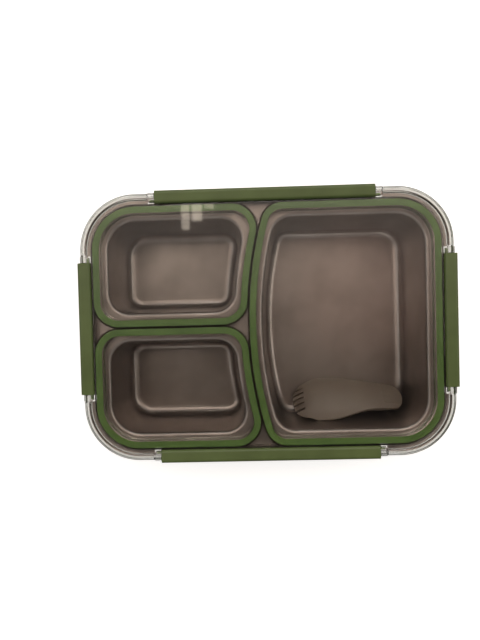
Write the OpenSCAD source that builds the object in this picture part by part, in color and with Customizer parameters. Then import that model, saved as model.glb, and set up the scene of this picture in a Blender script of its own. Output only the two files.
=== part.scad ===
// Three-compartment bento lunch box, closed: an outer case, a pressed steel tray with
// three wells, a clear lid with three seals, four snap clips hinged on the lid, and a
// folding spork that leans in the large well. Millimetres; X runs left to right, Y from
// front to back, Z up; the origin is the centre of the base, on the table.
// An inset is a distance inwards from the outline of the lid.

/* [Overall] */
// Length of the lid, left to right
lid_l = 241; // [232:1:256]
// Width of the lid, front to back
lid_w = 173.5; // [166:0.5:186]
// Height of the closed box over the clear panel
box_h = 60; // [54:1:72]
// Corner radius of the lid's outline
lid_r = 36; // [34:0.5:40]

/* [Case] */
// Wall of the case
case_wall = 2.2; // [1.6:0.1:2.8]
// Thickness of the case floor
case_floor = 2; // [1.6:0.1:3]
// Height of the foot ring under the case
foot_h = 1.2; // [0.8:0.1:2]
// Width of the foot ring
foot_w = 3; // [2:0.5:5]
// Draft of the case wall, in degrees
case_draft = 2.5; // [1:0.5:4]
// Rounding between the case wall and the base
case_base_r = 9; // [7:0.5:11]
// How far the catch ledge stands out from the rim of the case
ledge_out = 2.1; // [1.8:0.1:2.4]
// Thickness of the catch ledge at its edge
ledge_t = 2.2; // [1.6:0.1:3]

/* [Tray] */
// Thickness of the steel sheet
sheet_t = 0.6; // [0.5:0.1:0.8]
// Height of the turned-down lip of the tray
lip_h = 4; // [3:0.5:4.5]
// Steel land between a seal and the mouth of its well
land_w = 2; // [1.5:0.1:3]
// Rounding at the mouth of a well
mouth_r = 2.5; // [1.5:0.1:3]
// Draft of the well walls, in degrees
well_draft = 4.5; // [3:0.5:5]
// Rounding between a well's wall and its floor
well_floor_r = 6.5; // [5:0.5:7]
// Corner radius of a well's mouth next to another well
well_inner_r = 16; // [15:0.5:18]
// Air gap between the wells and the case floor
under_gap = 5.2; // [4.5:0.1:8]
// Length of the plain pressed frame in the large well's floor
mark_l = 37; // [25:1:45]
// Width of that frame
mark_w = 11.5; // [8:0.5:15]

/* [Divider] */
// Place of the bowed divider's middle, left of the centre
divider_x = -12.2; // [-18:0.2:-8]
// Radius of the bowed divider
divider_r = 255; // [230:5:300]

/* [Seals] */
// Inset of a seal's outer edge
seal_in = 8.3; // [8.1:0.1:8.6]
// Width of a seal
seal_w = 4.2; // [3.6:0.1:4.8]
// Gap between two neighbouring seals
seal_gap = 1.6; // [1.4:0.1:2]
// Outer radius of a small seal next to another well
seal_inner_r = 16; // [15:0.5:18]
// Outer radius of the large seal next to another well
seal_large_r = 14; // [13:0.5:16]

/* [Lid] */
// Thickness of the clear panel
panel_t = 2; // [1.6:0.1:2.4]
// Thickness of the lid's skirt
lid_wall = 1.6; // [1.4:0.1:1.8]
// Height of the panel's underside over the tray
head_room = 4.6; // [4.4:0.1:5.4]
// Width of the raised band round the lid
band_w = 4.5; // [4:0.1:4.8]
// Drop from the panel to the top of the band
band_drop = 1.1; // [0.8:0.1:1.4]
// Depth of the groove between the panel and the band
groove_d = 3.2; // [3:0.1:3.3]
// Rounding of the panel's edge
edge_r = 1; // [0.9:0.1:1.2]
// Thickness of the ribs that hold the seals
rib_t = 1; // [0.8:0.1:1.1]
// Gap between the lid's skirt and the catch ledge
skirt_gap = 1; // [0.8:0.1:1.4]

/* [Clips] */
// Length of the front and rear clips
clip_long = 141.3; // [110:1:150]
// Length of the side clips
clip_short = 85.3; // [60:1:90]
// Radius of a clip's barrel
barrel_r = 1.75; // [1.6:0.05:1.8]
// Thickness of a clip's top plate
clip_plate = 1.5; // [1.3:0.1:1.5]
// Thickness of a clip's leg
clip_leg = 1.8; // [1.5:0.1:1.9]
// How far a closed clip stands proud of the lid
clip_proud = 1.5; // [1.4:0.1:2]
// Radius of the stub that a clip turns on
stub_r = 0.9; // [0.8:0.05:1]
// Length of that stub
stub_l = 3; // [2:0.2:3.2]
// Width of the lid's block that carries a stub
block_w = 4; // [3.8:0.2:5]
// Slit between that block and the raised band
slit_w = 0.9; // [0.6:0.1:1.2]
// How far a closed hook reaches under the ledge
hook_reach = 1.1; // [0.8:0.1:1.2]
// Length of the finger tab below the hook
tab_l = 6; // [4:0.5:8]
// Angle by which a clip rests short of its catch
clip_ajar = 6; // [6:0.5:8]

/* [Spork] */
// Length of the folded spork
spork_l = 78; // [72:1:78]
// Width of its bowl
bowl_w = 36; // [32:0.5:37]
// Width of its neck
neck_w = 22.4; // [20:0.2:24]
// Wall of the spork's head
bowl_t = 1.8; // [1.5:0.1:2]
// Radius of the bowl's back across its width
bowl_r = 27; // [25:0.5:30]
// Width of one slot between two tines
slot_w = 1.6; // [1.2:0.1:2]
// Length of the slots
slot_l = 7.5; // [6:0.5:10]
// Number of slots
slots = 5; // [3:1:5]
// Width of the handle
handle_w = 14; // [12:0.5:15]
// Thickness of the handle
handle_t = 2.4; // [2:0.1:2.6]
// Length of the folded handle from its pivot
handle_l = 66; // [55:1:68]
// Radius of the spork's hinge pin
pin_r = 1.2; // [1:0.1:1.4]
// Lean of the spork against the front wall, in degrees
spork_lean = 44.5; // [40:0.5:45]
// Turn of the spork in plan, in degrees
spork_turn = 2; // [0:0.5:2]

/* [Fits] */
// Gap between the skirt of the lid and the lip of the tray
skirt_fit = 0.5; // [0.4:0.1:0.7]
// Gap between the lip of the tray and the rim of the case
lip_fit = 0.4; // [0.3:0.1:0.6]
// Gap between a seal and its ribs, and under a relaxed seal
seal_fit = 0.1; // [0.05:0.05:0.15]
// Gap between a seal and the clear panel over it
seat_fit = 0.04; // [0.02:0.01:0.08]
// Gap at each end of a clip
clip_end_fit = 0.35; // [0.3:0.05:0.5]
// Gap round a clip's stub
stub_fit = 0.08; // [0.05:0.01:0.1]
// Gap between a barrel and the lid below it
barrel_fit = 0.3; // [0.25:0.05:0.4]
// Gap between the leg of a closed clip and the lid
leg_fit = 0.45; // [0.35:0.05:0.6]
// Gap between a closed hook and the ledge at its edge
hook_fit = 0.1; // [0.05:0.05:0.2]
// Side gap in the spork's hinge
hinge_fit = 0.2; // [0.15:0.05:0.3]
// Gap round the spork's pin in the head
pin_fit = 0.06; // [0.04:0.01:0.1]
// Gap between the leaning spork and the steel
rest_fit = 0.3; // [0.2:0.05:0.6]

/* [Hidden] */
$fn = 64;
leaf_green = "#5b6f3c";
olive = "#56673a";
steel = "#8d8682";
clear = [0.75, 0.78, 0.78, 0.4];
taupe = "#5d534b";
merge = 1;
// The swept arc along the divider is a hair thinner than its corners and reaches into
// them by an angle, and the arcs of plain areas are set over a little, so that no two
// curved faces only just meet
thinner = 0.02;
lap = 0.12;
set_over = 0.2;
past = 1;
$thin = 0;

// Levels
flange_z = box_h - panel_t - head_room;
flange_under = flange_z - sheet_t;
case_floor_z = foot_h + case_floor;
well_floor_z = case_floor_z + under_gap + sheet_t;
lip_z = flange_z - lip_h;
panel_z = box_h - panel_t;
groove_z = box_h - groove_d;
web_z = flange_z + lid_wall + 0.2;
band_z = box_h - band_drop;
skirt_z = lip_z - lid_wall - 0.2;
ledge_z = skirt_z - skirt_gap;
ledge_under = ledge_z - ledge_t;

// Insets
lip_in = lid_wall + skirt_fit;
rim_in = lip_in + sheet_t + lip_fit;
rim_t = case_wall - 0.2;
ledge_in = rim_in - ledge_out;
step_in = seal_in - seal_fit - rib_t;
well_in = seal_in + seal_w + land_w;
rib_merge_in = step_in + rib_t / 2;

// Clip hinge: the axis lies under the bar, clear of the panel's edge
bar_gap = 0.35;
axis_drop = 1.5;
leg_relief = 0.6;
axis_in = step_in - barrel_r - bar_gap;
axis_z = box_h - axis_drop;
seat_z = axis_z - barrel_r - barrel_fit;
leg_out = axis_in + clip_proud;
skirt_thin = leg_fit - clip_leg + clip_proud + leg_relief;
tip_x = axis_in - ledge_in - hook_reach;
tip_z = -sqrt(pow(axis_in - ledge_in, 2) + pow(axis_z - ledge_under + hook_fit, 2) - pow(tip_x, 2));
straight_x = lid_l - 2 * lid_r;
straight_y = lid_w - 2 * lid_r;

// Wells: the wall's profile, measured outwards from the mouth
mouth_z = flange_z - mouth_r;
foot_z = well_floor_z + well_floor_r;
wall_top = [mouth_r * cos(180 - well_draft), mouth_z + mouth_r * sin(well_draft)];
wall_low_z = foot_z - well_floor_r * sin(well_draft);
wall_low_u = wall_top[0] - (wall_top[1] - wall_low_z) * tan(well_draft);
floor_u = wall_low_u - well_floor_r * cos(well_draft);
divider_cx = divider_x + divider_r;

function at(inset) = lid_r - inset;
function arc(cx, cz, r, a0, a1, n = 6) =
    [for (i = [0:n]) let (a = a0 + (a1 - a0) * i / n) [cx + r * cos(a), cz + r * sin(a)]];

// Half-width of the case's outer wall at a height, from the corner centres
function case_x(z) = at(rim_in) - (ledge_under - z) * tan(case_draft);

// Distance from the divider's line to an outline at an inset
function from_divider(inset) = inset - seal_in + seal_gap / 2;

// Corner centres of a well's outline, the lid's own corners first
out_x = lid_l / 2 - lid_r;
out_y = lid_w / 2 - lid_r;
function big_r(i) = divider_r - from_divider(i);
function small_r(i) = divider_r + from_divider(i);
function top_y(i, r) = lid_w / 2 - i - r;
function low_y(i, r) = from_divider(i) + r;
function big_x(i, r) = mm(divider_cx - sqrt(pow(big_r(i) - r, 2) - pow(top_y(i, r), 2)));
function small_x(i, r, y) = mm(divider_cx - sqrt(pow(small_r(i) + r, 2) - pow(y, 2)));
function mm(x) = round(x * 1000) / 1000;

// One quarter turn after another: sweeps a profile round the lid's rounded outline.
// The profile's x is measured from the corner centres.
module round_outline() {
    for (k = [0:3]) {
        run = k % 2 == 0 ? straight_y : straight_x;
        out = (k % 2 == 0 ? straight_x : straight_y) / 2;
        rotate([0, 0, 90 * k])
            translate([out, run / 2, 0]) {
                rotate([90, 0, 0])
                    linear_extrude(run)
                        children();
                rotate_extrude(angle = 90)
                    children();
            }
    }
}

// The lid's outline drawn in by an inset
module outline_area(inset) {
    r = lid_r - inset;
    square([straight_x, lid_w - 2 * inset], center = true);
    square([lid_l - 2 * inset, straight_y], center = true);
    for (sx = [-1, 1], sy = [-1, 1])
        translate([sx * straight_x / 2, sy * straight_y / 2])
            circle(r);
}

// A turn of a profile at radius r about (x, y), starting at an angle
module turn(x, y, r, start, by) {
    translate([x, y, 0])
        rotate([0, 0, start])
            mirror([0, by < 0 ? 1 : 0, 0])
                rotate_extrude(angle = abs(by), $fn = r > 100 ? 720 : 64)
                    translate([r, 0])
                        children();
}

// A straight run of a profile from (x, y) along the direction a
module run(x, y, a, len) {
    translate([x, y, 0])
        rotate([90, 0, a + 90])
            linear_extrude(len)
                children();
}

// Sweeps a profile round a well. The profile's x is measured outwards from the
// outline at inset i; r is the corner radius next to another well.
module large_sweep(i, r) {
    ro = lid_r - i;
    y = top_y(i, r);
    x = big_x(i, r);
    bow = asin(y / (big_r(i) - r));
    for (m = [0, 1])
        mirror([0, m, 0]) {
            turn(out_x, out_y, ro, 0, 90) children();
            turn(x, y, r, 90, 90 - bow) children();
            run(x, lid_w / 2 - i, 0, out_x - x) children();
        }
    run(lid_l / 2 - i, out_y, 270, 2 * out_y) children();
    turn(divider_cx, 0, big_r(i), 180 - bow - lap, 2 * (bow + lap))
        let ($thin = thinner) children();
}

module small_sweep(i, r) {
    ro = lid_r - i;
    yt = top_y(i, r);
    yb = low_y(i, r);
    xt = small_x(i, r, yt);
    xb = small_x(i, r, yb);
    at_top = asin(yt / (small_r(i) + r));
    at_low = asin(yb / (small_r(i) + r));
    left = -lid_l / 2 + i;
    turn(-out_x, out_y, ro, 90, 90) children();
    turn(left + r, yb, r, 180, 90) children();
    turn(xt, yt, r, 90, -90 - at_top) children();
    turn(xb, yb, r, -90, 90 - at_low) children();
    run(-out_x, lid_w / 2 - i, 0, xt + out_x) children();
    run(xb, yb - r, 180, xb - left - r) children();
    run(left, yb, 90, out_y - yb) children();
    turn(divider_cx, 0, small_r(i), 180 - at_top - lap, at_top - at_low + 2 * lap)
        mirror([1, 0])
            let ($thin = thinner) children();
}

module well_sweep(k, i, r) {
    if (k == 2) large_sweep(i, r) children();
    if (k < 2) mirror([0, k, 0]) small_sweep(i, r) children();
}

// The area inside the same outline, grown by u
module large_area(i, r, u, over) {
    y = top_y(i, r);
    x = big_x(i, r);
    bow = asin(y / (big_r(i) - r)) + past;
    far = r + u + 6;
    Y = lid_w / 2 - i + u;
    X = lid_l / 2 - i + u;
    polygon([[x, -Y], [out_x, -Y], [X, -out_y], [X, out_y], [out_x, Y], [x, Y]]);
    for (s = [-1, 1]) {
        translate([out_x, s * out_y]) circle(lid_r - i + u);
        translate([x, s * y]) circle(r + u);
    }
    intersection() {
        translate([divider_cx, 0]) circle(big_r(i) + u + over, $fn = 720);
        polygon([[x + merge, -y], [x, -y], [x - far * cos(bow), -y - far * sin(bow)],
                 [divider_cx - big_r(i) - far, 0],
                 [x - far * cos(bow), y + far * sin(bow)], [x, y], [x + merge, y]]);
    }
}

module small_area(i, r, u, over) {
    yt = top_y(i, r);
    yb = low_y(i, r);
    xt = small_x(i, r, yt);
    xb = small_x(i, r, yb);
    at_top = asin(yt / (small_r(i) + r)) - past;
    at_low = asin(yb / (small_r(i) + r)) + past;
    far = r + u + 6;
    left = -lid_l / 2 + i;
    Y = lid_w / 2 - i + u;
    polygon([[left - u, out_y], [left - u, yb], [left + r, yb - r - u], [xb, yb - r - u],
             [xb, yb], [xt, yt], [xt, Y], [-out_x, Y]]);
    translate([-out_x, out_y]) circle(lid_r - i + u);
    translate([left + r, yb]) circle(r + u);
    translate([xt, yt]) circle(r + u);
    translate([xb, yb]) circle(r + u);
    difference() {
        polygon([[xb - merge, yb], [xb, yb], [xb + far * cos(at_low), yb - far * sin(at_low)],
                 [xt + far * cos(at_top), yt - far * sin(at_top)], [xt, yt], [xt - merge, yt]]);
        translate([divider_cx, 0]) circle(small_r(i) - u - over, $fn = 720);
    }
}

module well_area(k, i, r, u, over) {
    if (k == 2) large_area(i, r, u, over);
    if (k < 2) mirror([0, k, 0]) small_area(i, r, u, over);
}

// Places its children on side k: x points outwards from the lid's outline, y along it
module on_side(k) {
    rotate([0, 0, 90 * k])
        translate([(k % 2 == 0 ? lid_l : lid_w) / 2, 0, 0])
            children();
}
function clip_len(k) = k % 2 == 0 ? clip_short : clip_long;

module case() {
    ease = 0.3;
    nose = 0.5;
    base_x = case_x(case_base_r) - case_base_r * cos(case_draft);
    inner_r = case_base_r - case_wall;
    inner_x = case_x(case_floor_z + inner_r) - case_wall / cos(case_draft) - inner_r * cos(case_draft);
    rim_x = at(rim_in) - rim_t;
    profile = concat(
        [[0, foot_h], [base_x - foot_w - foot_h, foot_h], [base_x - foot_w, 0]],
        arc(base_x, case_base_r, case_base_r, -90, -case_draft),
        [[at(rim_in), ledge_under - ease], [at(ledge_in) - ease, ledge_under],
         [at(ledge_in), ledge_under + ease], [at(ledge_in), ledge_z - ease],
         [at(ledge_in) - ease, ledge_z], [at(rim_in), ledge_z],
         [at(rim_in), flange_under - nose], [at(rim_in) - nose, flange_under],
         [rim_x + ease, flange_under], [rim_x, flange_under - ease], [rim_x, ledge_z],
         [case_x(ledge_under) - case_wall / cos(case_draft), ledge_under]],
        arc(inner_x, case_floor_z + inner_r, inner_r, -case_draft, -90),
        [[0, case_floor_z]]);
    color(olive)
        union() {
            round_outline()
                polygon(profile);
            translate([0, 0, foot_h])
                linear_extrude(case_floor)
                    square([straight_x + 2 * merge, straight_y + 2 * merge], center = true);
        }
}

module lip_profile() {
    bend = mouth_r - 1;
    x = at(lip_in);
    polygon(concat(
        [[at(rim_in) - 4, flange_under], [at(rim_in) - 4, flange_z]],
        arc(x - bend, flange_z - bend, bend, 90, 0),
        [[x, lip_z], [x - sheet_t, lip_z]],
        arc(x - bend, flange_z - bend, bend - sheet_t, 0, 90)));
}

module well_profile() {
    up = $thin;
    down = sheet_t - $thin;
    polygon(concat(
        [[merge, flange_z - up]],
        arc(0, mouth_z, mouth_r - up, 90, 180 - well_draft),
        arc(floor_u, foot_z, well_floor_r + up, -well_draft, -90),
        [[floor_u - merge, well_floor_z - up], [floor_u - merge, well_floor_z - down]],
        arc(floor_u, foot_z, well_floor_r + down, -90, -well_draft),
        arc(0, mouth_z, mouth_r - down, 180 - well_draft, 90),
        [[merge, flange_z - down]]));
}

// Plain rectangular frame pressed down into the large well's floor
mark_x = (big_x(well_in, well_inner_r) + lid_l / 2 - well_in) / 2 - 7;
mark_y = 7;
mark_line = 0.8;
module floor_mark() {
    translate([mark_x, mark_y, well_floor_z - sheet_t / 3])
        linear_extrude(sheet_t)
            difference() {
                square([mark_l, mark_w], center = true);
                square([mark_l - 2 * mark_line, mark_w - 2 * mark_line], center = true);
            }
}

module tray() {
    color(steel)
        difference() {
            union() {
                translate([0, 0, flange_under])
                    linear_extrude(sheet_t)
                        difference() {
                            outline_area(rim_in + 3);
                            for (k = [0:2])
                                well_area(k, well_in, well_inner_r, merge / 2, set_over);
                        }
                round_outline()
                    lip_profile();
                for (k = [0:2]) {
                    well_sweep(k, well_in, well_inner_r)
                        well_profile();
                    translate([0, 0, well_floor_z - sheet_t])
                        linear_extrude(sheet_t)
                            well_area(k, well_in, well_inner_r, floor_u - merge / 2, set_over);
                }
            }
            floor_mark();
        }
}

module seal_profile() {
    lip = seal_w / 5;
    in = -seal_w + $thin;
    out = -$thin;
    top = panel_z - seat_fit - $thin;
    foot = flange_z + seal_fit + $thin;
    polygon([[in, top], [in, foot + 1.2], [in + lip, foot], [in + 1.8 * lip, foot],
             [in + 2.2 * lip, foot + 1], [out - 2.2 * lip, foot + 1], [out - 1.8 * lip, foot],
             [out - lip, foot], [out, foot + 1.2], [out, top]]);
}

module seal(k) {
    color(leaf_green)
        well_sweep(k, seal_in, k == 2 ? seal_large_r : seal_inner_r)
            seal_profile();
}

// Section of the lid's rim: step, groove, raised band and skirt
module rim_profile() {
    step_x = at(step_in);
    shoulder = 2;
    band_x = at(band_w);
    hollow_x = at(lid_wall);
    polygon(concat(
        [[at(seal_in + 4), panel_z], [at(seal_in + 4), box_h]],
        arc(step_x - edge_r, box_h - edge_r, edge_r, 90, 0),
        [[step_x, groove_z], [band_x, groove_z]],
        arc(band_x + 0.8, band_z - 0.8, 0.8, 180, 90, 3),
        arc(lid_r - shoulder, band_z - shoulder, shoulder, 90, 0),
        [[lid_r, skirt_z], [hollow_x, skirt_z], [hollow_x, band_z - lid_wall],
         [band_x + lid_wall, band_z - lid_wall], [band_x + lid_wall, web_z],
         [step_x, web_z], [step_x, flange_z], [step_x - rib_t, flange_z],
         [step_x - rib_t, panel_z]]));
}

// Ribs under the panel that hold the seals in place
module seal_ribs(k) {
    r = k == 2 ? seal_large_r : seal_inner_r;
    translate([0, 0, flange_z])
        linear_extrude(panel_z - flange_z + panel_t / 2)
            intersection() {
                difference() {
                    well_area(k, seal_in, r, seal_fit + rib_t, thinner);
                    well_area(k, seal_in, r, seal_fit, thinner);
                }
                outline_area(rib_merge_in);
            }
    translate([0, 0, flange_z + 1])
        linear_extrude(panel_z - flange_z - 1 + panel_t / 2)
            difference() {
                well_area(k, seal_in, r, -seal_w - seal_fit, thinner);
                well_area(k, seal_in, r, -seal_w - seal_fit - rib_t, thinner);
            }
}

// The two blocks of one side that carry the stubs of a clip
module clip_seat(k) {
    half = clip_len(k) / 2 + clip_end_fit;
    on_side(k) {
        for (s = [0, 1])
            mirror([0, s, 0])
                translate([0, half, 0])
                    rotate([-90, 0, 0])
                        mirror([0, 1, 0])
                            linear_extrude(block_w)
                                polygon(concat(
                                    [[-step_in, web_z], [-step_in, axis_z]],
                                    arc(-axis_in, axis_z, barrel_r, 150, 90, 4),
                                    arc(-2, axis_z + barrel_r - 2, 2, 90, 0),
                                    [[0, web_z]]));
        translate([-band_w - lid_wall, -half - merge, web_z])
            cube([band_w + lid_wall - skirt_thin, 2 * half + 2 * merge, seat_z - web_z]);
    }
}

// What the clip of one side needs cut out of the rim
module clip_recess(k) {
    half = clip_len(k) / 2 + clip_end_fit;
    on_side(k) {
        translate([-step_in, -half, seat_z])
            cube([step_in + merge, 2 * half, box_h]);
        translate([-skirt_thin, -half, skirt_z - merge])
            cube([skirt_thin + merge, 2 * half, box_h]);
        for (s = [0, 1])
            mirror([0, s, 0])
                translate([-step_in, half + block_w, groove_z])
                    cube([step_in + merge, slit_w, box_h]);
        translate([-axis_in, 0, axis_z])
            rotate([90, 0, 0])
                cylinder(r = stub_r + stub_fit, h = 2 * (half + stub_l + 0.2), center = true);
    }
}

module lid() {
    color(clear)
        difference() {
            union() {
                round_outline()
                    rim_profile();
                translate([0, 0, panel_z])
                    linear_extrude(panel_t)
                        outline_area(seal_in + 3);
                for (k = [0:2])
                    seal_ribs(k);
                for (k = [0:3])
                    clip_seat(k);
            }
            for (k = [0:3])
                clip_recess(k);
        }
}

// Section of a clip that is snapped shut, about its axis
module clip_profile() {
    outer = leg_out;
    inner = outer - clip_leg;
    under = barrel_r - clip_plate;
    tab_z = tip_z - tab_l;
    circle(barrel_r);
    polygon(concat(
        [[0, under], [0, barrel_r]],
        arc(outer - 2, barrel_r - 2, 2, 90, 0),
        [[outer, tip_z - 1.5], [outer + 0.3, tip_z - 2.4], [outer + 1.5, tab_z],
         [outer + 0.5, tab_z - 0.6], [outer - 1.1, tip_z - 3], [inner, tip_z - 2.4],
         [tip_x + 0.1, tip_z - 0.9], [tip_x, tip_z], [inner, tip_z]],
        arc(inner - 0.7, under - 0.7, 0.7, 0, 90, 3)));
}

module clip(k) {
    len = clip_len(k);
    color(leaf_green)
        on_side(k)
            translate([-axis_in, 0, axis_z])
                rotate([0, -clip_ajar, 0])
                    rotate([90, 0, 0])
                        translate([0, 0, -len / 2]) {
                            linear_extrude(len)
                                clip_profile();
                            translate([0, 0, -stub_l])
                                cylinder(r = stub_r, h = len + 2 * stub_l);
                        }
}

// Spork, in its own frame: x from the tines to the hinge, z out of the bowl's back.
// The crown of the bowl is at the origin, and the bowl opens downwards.
bowl_lead = 22.2;
end_x = spork_l - bowl_lead;
end_round = 8;
neck_x = 37;
neck_taper = 0.12;
crown_front = 30;
crown_rear = 165;
rim_z = sqrt(pow(bowl_r, 2) - pow(bowl_w / 2, 2)) - bowl_r - 0.5;
rim_dip = 4;
tine_step = 4.2;
pad = [10, 13, 0.5];

// Hinge, measured along the neck and down from its underside
knuckle_r = 3.4;
knuckle_w = 8;
knuckle_gap = 0.2;
cheek_w = 14;
cheek_l = 6.4;
pin_drop = knuckle_r + knuckle_gap;
hinge_back = 7.3;
neck_a = asin((end_x - hinge_back) / crown_rear);
pivot_x = (crown_rear - bowl_t - pin_drop) * sin(neck_a);
pivot_z = (crown_rear - bowl_t - pin_drop) * cos(neck_a) - crown_rear;

// Half-width of the head: blunt at the tines, drawn in to the neck, round at the end
function bowl_half(x) =
    x < 0 ? bowl_w / 2 * pow(1 - pow(min(-x / bowl_lead, 1), 3.2), 0.45)
          : (neck_w / 2 + (bowl_w - neck_w) / 4 * (1 + cos(180 * min(x / neck_x, 1)))
             - neck_taper * max(x - neck_x, 0))
            * pow(1 - pow(max((x - end_x + end_round) / end_round, 0), 2.6), 0.45);

function head_half(side) =
    [for (i = [0:40]) let (x = -bowl_lead + spork_l * (1 - cos(180 * i / 40)) / 2)
        [x, side * bowl_half(x)]];

function reversed(list) = [for (i = [len(list) - 1:-1:0]) list[i]];

// A shell crowned at the origin, curved by bowl_r across and by r along, over an angle
// to the handle's side or, if negative, to the tines'
module crowned(r, by) {
    translate([0, 0, -r])
        rotate([90, -90, 180])
            mirror([0, by < 0 ? 1 : 0, 0])
                rotate_extrude(angle = abs(by), $fn = 180)
                    translate([r - bowl_r, 0])
                        intersection() {
                            difference() {
                                circle(bowl_r);
                                circle(bowl_r - bowl_t);
                            }
                            translate([bowl_r / 2, -bowl_r])
                                square([bowl_r, 2 * bowl_r]);
                        }
}

module head_outline() {
    polygon(concat(head_half(1), reversed(head_half(-1))));
}

// What the rim of the bowl leaves: level, and falling away towards the tines
module over_rim() {
    rotate([90, 0, 0])
        linear_extrude(2 * bowl_w, center = true)
            polygon([[-bowl_lead - merge, bowl_r], [-bowl_lead - merge, rim_z - rim_dip],
                     [-bowl_lead / 2, rim_z], [neck_x / 2, rim_z], [end_x, -bowl_r], [end_x + merge, bowl_r]]);
}

// The frame of the neck at the hinge: x along the neck, z = 0 on its underside
module at_neck() {
    translate([0, 0, -crown_rear])
        rotate([0, neck_a, 0])
            translate([0, 0, crown_rear - bowl_t])
                children();
}

// A cylinder across the spork, about the pivot
module at_pivot(r, w) {
    translate([pivot_x, w / 2, pivot_z])
        rotate([90, 0, 0])
            cylinder(r = r, h = w);
}

module in_well() {
    translate([spork_x, spork_y, spork_z])
        rotate([-spork_lean, 0, spork_turn])
            children();
}

// The rim of the bowl rests on the floor and against the front wall. The crown lies far
// enough from the well's end for the neck's tip to swing clear of the corner.
spork_in = 65.5;
rest_y = bowl_w / 2 * cos(spork_lean) - rim_z * sin(spork_lean);
rest_drop = bowl_w / 2 * sin(spork_lean) - rim_z * cos(spork_lean);
spork_x = lid_l / 2 - well_in - spork_in;
spork_z = well_floor_z + rest_fit + rest_drop;
front_rim_z = spork_z + bowl_w / 2 * sin(spork_lean) + rim_z * cos(spork_lean);
wall_y = lid_w / 2 - well_in + wall_top[0] - (wall_top[1] - front_rim_z) * tan(well_draft);
spork_y = -wall_y + rest_fit + rest_y;

module spork_head() {
    color(taupe)
        in_well()
            difference() {
                union() {
                    intersection() {
                        union() {
                            crowned(crown_front, -50);
                            crowned(crown_rear, 25);
                        }
                        translate([0, 0, -bowl_r])
                            linear_extrude(2 * bowl_r)
                                head_outline();
                        over_rim();
                    }
                    intersection() {
                        translate([0, 0, pad[2]])
                            crowned(crown_rear, 25);
                        translate([pivot_x - pad[0] / 2, -pad[1] / 2, -bowl_r])
                            cube([pad[0], pad[1], 2 * bowl_r]);
                    }
                    difference() {
                        at_neck()
                            rotate([90, 0, 0])
                                linear_extrude(cheek_w, center = true) {
                                    translate([0, -pin_drop])
                                        circle(knuckle_r);
                                    translate([-cheek_l / 2, -pin_drop])
                                        square([cheek_l, pin_drop + bowl_t / 3]);
                                }
                        at_neck()
                            translate([-2 * knuckle_r, -knuckle_w / 2 - hinge_fit, -bowl_r])
                                cube([4 * knuckle_r, knuckle_w + 2 * hinge_fit, bowl_r - knuckle_gap]);
                    }
                }
                for (i = [0:slots - 1])
                    translate([-bowl_lead - merge, (i - (slots - 1) / 2) * tine_step - slot_w / 2, -bowl_w])
                        cube([slot_l + merge, slot_w, 2 * bowl_w]);
                at_pivot(pin_r + pin_fit, bowl_w);
            }
}

module spork_handle() {
    color(taupe)
        in_well()
            difference() {
                union() {
                    at_pivot(knuckle_r - 0.4, knuckle_w);
                    translate([pivot_x - 9, -knuckle_w / 2, pivot_z - handle_t / 2])
                        cube([9, knuckle_w, handle_t]);
                    translate([pivot_x - handle_l, 0, pivot_z - handle_t / 2])
                        linear_extrude(handle_t) {
                            translate([handle_w / 2, 0])
                                circle(handle_w / 2);
                            translate([handle_w / 2, -handle_w / 2])
                                square([handle_l - 8 - handle_w / 2, handle_w]);
                        }
                }
                at_pivot(pin_r, bowl_w);
            }
}

module spork_pin() {
    color(steel)
        in_well()
            at_pivot(pin_r, cheek_w - 1);
}

case();
tray();
lid();
seal(0);  // seal_rear
seal(1);  // seal_front
seal(2);  // seal_large
clip(0);  // clip_right
clip(1);  // clip_rear
clip(2);  // clip_left
clip(3);  // clip_front
spork_handle();
spork_head();
spork_pin();
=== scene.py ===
"""Looks of a closed three-compartment bento lunch box: a clear lid with green seals and
clips over a pressed steel tray, with a folding spork in the large well."""

import math

import bpy
import numpy as np
from mathutils import Matrix, Vector

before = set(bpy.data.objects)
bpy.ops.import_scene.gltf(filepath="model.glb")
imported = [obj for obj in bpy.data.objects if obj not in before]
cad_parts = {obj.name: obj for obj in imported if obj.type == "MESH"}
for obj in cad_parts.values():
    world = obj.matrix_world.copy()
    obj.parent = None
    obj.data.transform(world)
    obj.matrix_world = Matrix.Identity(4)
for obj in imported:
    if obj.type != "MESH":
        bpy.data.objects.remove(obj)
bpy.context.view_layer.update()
scene = bpy.context.scene
scene.view_settings.view_transform = "Standard"

# ---------------------------------------------------------------- named values
# Lengths are in metres, except where a name ends in mm. A glow is an emission strength. A
# fade is where it starts, where it ends, and the glow that it has reached there.

MM = 1000  # millimetres in a metre
WHITE = (1, 1, 1, 1)
PLASTIC_IOR = 1.49
NOISE_ROUGHNESS = 0.55
CLOUD_BAND = {"From_Min": 0.35, "From_Max": 0.65}  # the part of a noise that does the work
GRAIN_BAND = {"From_Min": 0.3, "From_Max": 0.7}
COLOUR_MIX = {"data_type": "RGBA"}  # takes its colours at 6 and 7 and gives its result at 2
SMOOTH = {"interpolation_type": "SMOOTHSTEP"}

FLOOR_SIDES = 96
FLOOR_RADII = (0.4, 1.2, 3.5)
FLOOR_GLOW = 0.7  # added for the eye alone, so that the floor reads as white paper
ROOM = "#555555"

CARD_Z = 2.0
CARD_SIDE = 3.0
CARD_GLOW = 0.04
REAR_FADES = ((-0.25, 0.4, 0.5), (0.42, 0.6, 0.6), (0.6, 0.68, 1.3))  # along Y
LEFT_FADE = (-0.74, -0.8, 1.8)  # along X
LEFT_REACH = (-0.6, -0.2, 1.0)  # along Y, as a share of the left fade
WARM_MIDDLE = (0.5, 0.1, CARD_Z)
WARM_FADE = (0.45, 0.1, 0.35)  # by the distance from the middle

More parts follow.
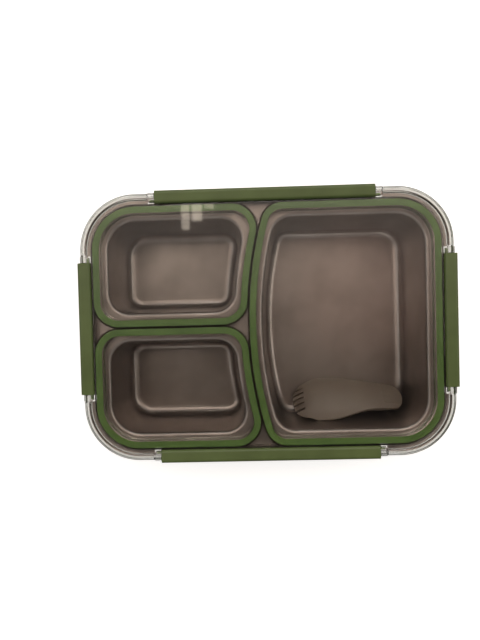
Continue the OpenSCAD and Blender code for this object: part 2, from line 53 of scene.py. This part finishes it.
WINDOW_DROP = 0.02  # how far the window hangs below the card
WINDOW_TINT = "#FFF0DC"
WINDOW_PANES = {  # left, right, front and rear edge, and glow
    "pane": (-0.395, -0.215, 0.510, 0.600, 8.0),
    "bar_left": (-0.319, -0.282, 0.393, 0.519, 3.5),
    "bar_middle": (-0.270, -0.224, 0.430, 0.538, 4.0),
    "bar_right": (-0.210, -0.168, 0.486, 0.538, 3.0),
}

SOFTBOX_SIZE = (0.9, 0.9)
SOFTBOXES = {  # place, watts and tint
    "left_softbox": ((-1.25, 0.1, 1.15), 1.5, "#FFFFFF"),
    "right_softbox": ((1.2, 0.3, 1.2), 5, "#FFF6EC"),
    "rear_softbox": ((0.1, 1.3, 1.2), 5.5, "#FFFFFF"),
    "front_softbox": ((0.0, -1.3, 1.1), 1, "#FFFFFF"),
}

SENSOR_mm = 36.0
FRAME_WIDTH_PX = 480
FOCAL_PX = 481.75
EYE = (-0.010566, 0.009172, 0.369482)
EYE_TURN_Z, EYE_TURN_Y, EYE_TURN_X = -0.026, 0.022, -0.019  # radians from straight down
EYE_NEAR = 0.01


# ---------------------------------------------------------------- colour and nodes


def lin(code):
    """An sRGB hex colour as linear RGBA."""
    rgb = np.array([int(code[i : i + 2], 16) for i in (1, 3, 5)]) / 255
    rgb = np.where(rgb <= 0.04045, rgb / 12.92, ((rgb + 0.055) / 1.055) ** 2.4)
    return (*map(float, rgb), 1.0)


def add(tree, kind, settings=None, **sockets):
    """Adds a node. settings are its own properties. A socket goes by its name, or by an
    underscore and its number, and gets a value, an output, or a node's first output."""
    node = tree.nodes.new(kind)
    for name, value in (settings or {}).items():
        setattr(node, name, value)
    for name, value in sockets.items():
        target = node.inputs[int(name[1:]) if name[0] == "_" else name.replace("_", " ")]
        if isinstance(value, bpy.types.Node):
            value = value.outputs[0]
        if isinstance(value, bpy.types.NodeSocket):
            tree.links.new(value, target)
        else:
            target.default_value = value
    return node


def material(name):
    """A new material and its node tree, emptied."""
    mat = bpy.data.materials.new(name)
    mat.use_nodes = True
    mat.node_tree.nodes.clear()
    return mat, mat.node_tree


# ---------------------------------------------------------------- materials


def pressed_stainless():
    """304 stainless sheet, deep drawn and satin polished: a warm grey mirror blurred by
    fine scratches, with faint clouds where the sheet was stretched."""
    cloud_mm, scratch_mm, scratch_depth_mm = 28, 3, 0.01
    across = (1, 12, 12)  # the scratches are this much finer across than along
    mat, t = material("satin_pressed_stainless")
    here = add(t, "ShaderNodeTexCoord").outputs["Object"]
    clouds = add(t, "ShaderNodeTexNoise", Vector=here, Scale=MM / cloud_mm, Detail=2,
                 Roughness=NOISE_ROUGHNESS)
    drawn = add(t, "ShaderNodeMapping", Vector=here, Scale=across)
    scratches = add(t, "ShaderNodeTexNoise", Vector=drawn, Scale=MM / scratch_mm, Detail=4,
                    Roughness=NOISE_ROUGHNESS)
    share = add(t, "ShaderNodeMapRange", Value=clouds, **CLOUD_BAND)
    colour = add(t, "ShaderNodeMix", COLOUR_MIX, _0=share, _6=lin("#8C827D"), _7=lin("#9A908B"))
    rough = add(t, "ShaderNodeMapRange", Value=scratches, To_Min=0.32, To_Max=0.42, **GRAIN_BAND)
    relief = add(t, "ShaderNodeBump", Height=scratches, Distance=scratch_depth_mm / MM,
                 Strength=0.3)
    skin = add(t, "ShaderNodeBsdfPrincipled", Base_Color=colour.outputs[2], Roughness=rough,
               Metallic=1.0, Normal=relief)
    add(t, "ShaderNodeOutputMaterial", Surface=skin)
    return mat


def clear_plastic():
    """Injection moulded clear copolymer, faintly smoked: sharp reflections over a slight
    ripple of the mould. Its shadow is a plain tint."""
    ripple_mm, ripple_depth_mm = 45, 0.15
    mat, t = material("clear_moulded_copolymer")
    here = add(t, "ShaderNodeTexCoord").outputs["Object"]
    ripple = add(t, "ShaderNodeTexNoise", Vector=here, Scale=MM / ripple_mm, Detail=1,
                 Roughness=NOISE_ROUGHNESS)
    relief = add(t, "ShaderNodeBump", Height=ripple, Distance=ripple_depth_mm / MM,
                 Strength=0.06)
    skin = add(t, "ShaderNodeBsdfPrincipled", Base_Color=lin("#F1F1EE"), Roughness=0.03,
               IOR=PLASTIC_IOR, Transmission_Weight=1.0, Normal=relief)
    passing = add(t, "ShaderNodeBsdfTransparent", Color=lin("#E4E4E0"))
    shadow = add(t, "ShaderNodeLightPath").outputs["Is Shadow Ray"]
    both = add(t, "ShaderNodeMixShader", _0=shadow, _1=skin, _2=passing)
    smoke = add(t, "ShaderNodeVolumeAbsorption", Color=lin("#8F8C88"), Density=38.0)
    add(t, "ShaderNodeOutputMaterial", Surface=both, Volume=smoke)
    return mat


def moulded(name, low, high, grain_mm, rough, depth_mm):
    """A moulded plastic or rubber: slow clouds between two close colours, and a fine grain
    that roughens it. A mould's real grain is finer; this one is as coarse as it needs to
    be to show."""
    cloud_mm = 22
    smoother, rougher = -0.05, 0.06
    mat, t = material(name)
    here = add(t, "ShaderNodeTexCoord").outputs["Object"]
    clouds = add(t, "ShaderNodeTexNoise", Vector=here, Scale=MM / cloud_mm, Detail=2,
                 Roughness=NOISE_ROUGHNESS)
    grain = add(t, "ShaderNodeTexNoise", Vector=here, Scale=MM / grain_mm, Detail=3,
                Roughness=NOISE_ROUGHNESS)
    share = add(t, "ShaderNodeMapRange", Value=clouds, **CLOUD_BAND)
    colour = add(t, "ShaderNodeMix", COLOUR_MIX, _0=share, _6=lin(low), _7=lin(high))
    gloss = add(t, "ShaderNodeMapRange", Value=grain, To_Min=rough + smoother,
                To_Max=rough + rougher, **GRAIN_BAND)
    relief = add(t, "ShaderNodeBump", Height=grain, Distance=depth_mm / MM, Strength=0.5)
    skin = add(t, "ShaderNodeBsdfPrincipled", Base_Color=colour.outputs[2], Roughness=gloss,
               IOR=PLASTIC_IOR, Normal=relief)
    add(t, "ShaderNodeOutputMaterial", Surface=skin)
    return mat


STEEL = pressed_stainless()
CLEAR = clear_plastic()
# Silicone rubber: deep green and matt, with hardly any grain.
SEAL = moulded("moulded_silicone", "#425D22", "#4C672B", 0.8, 0.5, 0.01)
# Polypropylene from a grained mould: a dull grey green that breaks up the light.
CLIP = moulded("fine_grain_polypropylene_green", "#4F5E30", "#586838", 1.1, 0.44, 0.08)
# Polypropylene from a satin mould: olive green with a soft sheen.
CASE = moulded("satin_polypropylene_olive", "#4A5A2C", "#536334", 0.7, 0.45, 0.02)
# A matt moulded plastic: a warm grey brown, close to the steel behind it.
SPORK = moulded("matt_moulded_grey_brown", "#6E6259", "#776B61", 0.6, 0.5, 0.02)
# The pin's wire: a plain grey. The recipe is the plastics' one, so it isn't metallic.
WIRE = moulded("drawn_stainless_wire", "#8E8C88", "#9A9894", 0.4, 0.35, 0.005)

NODE_MATERIALS = {
    "case": CASE, "tray": STEEL, "lid": CLEAR, "spork_handle": SPORK, "spork_head": SPORK,
    "spork_pin": WIRE, "seal_rear": SEAL, "seal_front": SEAL, "seal_large": SEAL,
    "clip_right": CLIP, "clip_rear": CLIP, "clip_left": CLIP, "clip_front": CLIP,
}
for node, mat in NODE_MATERIALS.items():
    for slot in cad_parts[node].material_slots:
        slot.material = mat

# ---------------------------------------------------------------- stage, light and camera


def seen_directly(tree):
    """1 for what the camera sees, straight or through the clear lid, and 0 for light."""
    path = add(tree, "ShaderNodeLightPath").outputs
    return add(tree, "ShaderNodeMath", {"operation": "MAXIMUM"}, _0=path["Is Camera Ray"],
               _1=path["Is Transmission Ray"])


def paper_floor():
    """Pale seamless paper: a level disc. A point of a ring is its radius times the cosine
    and the sine of its share of a full turn. Triangles join the middle to the first ring,
    and each ring is joined to the next by four-sided faces."""
    fibre_mm = 6
    mat, t = material("pale_seamless_paper")
    here = add(t, "ShaderNodeTexCoord").outputs["Object"]
    fibre = add(t, "ShaderNodeTexNoise", Vector=here, Scale=MM / fibre_mm, Detail=2,
                Roughness=NOISE_ROUGHNESS)
    share = add(t, "ShaderNodeMapRange", Value=fibre, **GRAIN_BAND)
    colour = add(t, "ShaderNodeMix", COLOUR_MIX, _0=share, _6=lin("#E6E6E4"), _7=lin("#EAEAE8"))
    glow = add(t, "ShaderNodeMapRange", Value=seen_directly(t), To_Max=FLOOR_GLOW)
    paper = add(t, "ShaderNodeBsdfPrincipled", Roughness=0.9, Base_Color=colour.outputs[2],
                Emission_Color=WHITE, Emission_Strength=glow)
    add(t, "ShaderNodeOutputMaterial", Surface=paper)
    around = np.linspace(0, 2 * math.pi, FLOOR_SIDES, endpoint=False)
    rings = [np.column_stack([r * np.cos(around), r * np.sin(around)]) for r in FLOOR_RADII]
    points = np.pad(np.vstack([[(0, 0)], *rings]), ((0, 0), (0, 1)))
    k = np.arange(FLOOR_SIDES)
    after = (k + 1) % FLOOR_SIDES
    faces = np.stack([0 * k, 1 + k, 1 + after], -1).tolist()
    for ring in range(len(FLOOR_RADII) - 1):
        inner = 1 + ring * FLOOR_SIDES
        outer = inner + FLOOR_SIDES
        faces += np.stack([inner + k, outer + k, outer + after, inner + after], -1).tolist()
    mesh = bpy.data.meshes.new("paper_floor")
    mesh.from_pydata(points.tolist(), [], faces)
    obj = bpy.data.objects.new("paper_floor", mesh)
    scene.collection.objects.link(obj)
    mesh.materials.append(mat)


def room():
    """A dim grey room, which the camera sees as white paper."""
    world = bpy.data.worlds.new("room")
    world.use_nodes = True
    scene.world = world
    t = world.node_tree
    t.nodes.clear()
    shade = add(t, "ShaderNodeMix", COLOUR_MIX, _0=seen_directly(t), _6=lin(ROOM), _7=WHITE)
    back = add(t, "ShaderNodeBackground", Color=shade.outputs[2])
    add(t, "ShaderNodeOutputWorld", Surface=back)


def softbox(name, place, aim, size, watts, tint):
    """A soft rectangular lamp at a place, facing a point."""
    lamp = bpy.data.lights.new(name, "AREA")
    lamp.shape, lamp.size, lamp.size_y = "RECTANGLE", *size
    lamp.energy = watts
    lamp.color = lin(tint)[:3]
    obj = bpy.data.objects.new(name, lamp)
    scene.collection.objects.link(obj)
    obj.location = place
    obj.rotation_euler = (Vector(aim) - Vector(place)).to_track_quat("-Z", "Y").to_euler()
    obj.visible_camera = False


def card_material():
    """A diffusing card lit from behind: dim over the front of the box and brighter to the
    rear and to the left, with a warm patch to the right. Each fade is a smooth step of X, of
    Y or of the distance from the patch's middle."""
    mat, t = material("backlit_diffusing_card")
    here = add(t, "ShaderNodeTexCoord").outputs["Object"]
    place = add(t, "ShaderNodeSeparateXYZ", Vector=here).outputs
    off = add(t, "ShaderNodeVectorMath", {"operation": "DISTANCE"}, _0=here, _1=WARM_MIDDLE)
    *rear, left, reach, warmth = [
        add(t, "ShaderNodeMapRange", SMOOTH, Value=along, From_Min=start, From_Max=end,
            To_Max=glow)
        for along, (start, end, glow) in (
            *((place["Y"], fade) for fade in REAR_FADES), (place["X"], LEFT_FADE),
            (place["Y"], LEFT_REACH), (off.outputs["Value"], WARM_FADE))
    ]
    side = add(t, "ShaderNodeMath", {"operation": "MULTIPLY"}, _0=left, _1=reach)
    total = rear[0]
    for more in (*rear[1:], side, CARD_GLOW):
        total = add(t, "ShaderNodeMath", {"operation": "ADD"}, _0=total, _1=more)
    white = add(t, "ShaderNodeEmission", Color=lin("#FFF0E6"), Strength=total)
    warm = add(t, "ShaderNodeEmission", Color=lin("#FFB8A0"), Strength=warmth)
    both = add(t, "ShaderNodeAddShader", _0=white, _1=warm)
    add(t, "ShaderNodeOutputMaterial", Surface=both)
    return mat


def ceiling_card():
    """A level square card high over the box, its corners at plus and minus half a side."""
    corner = np.array([(-1, -1), (-1, 1), (1, 1), (1, -1)]) * CARD_SIDE / 2
    points = np.column_stack([corner, np.full(4, CARD_Z)])
    mesh = bpy.data.meshes.new("ceiling_card")
    mesh.from_pydata(points.tolist(), [], [(0, 1, 2, 3)])
    obj = bpy.data.objects.new("ceiling_card", mesh)
    scene.collection.objects.link(obj)
    mesh.materials.append(card_material())
    obj.visible_camera = False
    obj.visible_shadow = False


def window():
    """One tall window high over the rear left: a pane and three bars of light below it."""
    for name, (left, right, front, rear, glow) in WINDOW_PANES.items():
        middle = ((left + right) / 2, (front + rear) / 2)
        size = (right - left, rear - front)
        softbox("window_" + name, (*middle, CARD_Z - WINDOW_DROP), (*middle, 0), size,
                glow * math.pi * size[0] * size[1], WINDOW_TINT)


def lights():
    """Four softboxes round the box, then the card, the window and the room."""
    for name, (place, watts, tint) in SOFTBOXES.items():
        softbox(name, place, (0, 0, 0), SOFTBOX_SIZE, watts, tint)
    ceiling_card()
    window()
    room()


def camera():
    """The eye looks nearly straight down at the lid, a little turned about each axis."""
    eye = bpy.data.cameras.new("over_the_lid")
    eye.sensor_fit = "HORIZONTAL"
    eye.sensor_width = SENSOR_mm
    eye.lens = FOCAL_PX / FRAME_WIDTH_PX * SENSOR_mm
    eye.clip_start = EYE_NEAR
    obj = bpy.data.objects.new("over_the_lid", eye)
    scene.collection.objects.link(obj)
    tilt = (Matrix.Rotation(EYE_TURN_Z, 4, "Z") @ Matrix.Rotation(EYE_TURN_Y, 4, "Y")
            @ Matrix.Rotation(EYE_TURN_X, 4, "X"))
    obj.matrix_world = Matrix.Translation(EYE) @ tilt
    scene.camera = obj


paper_floor()
lights()
camera()
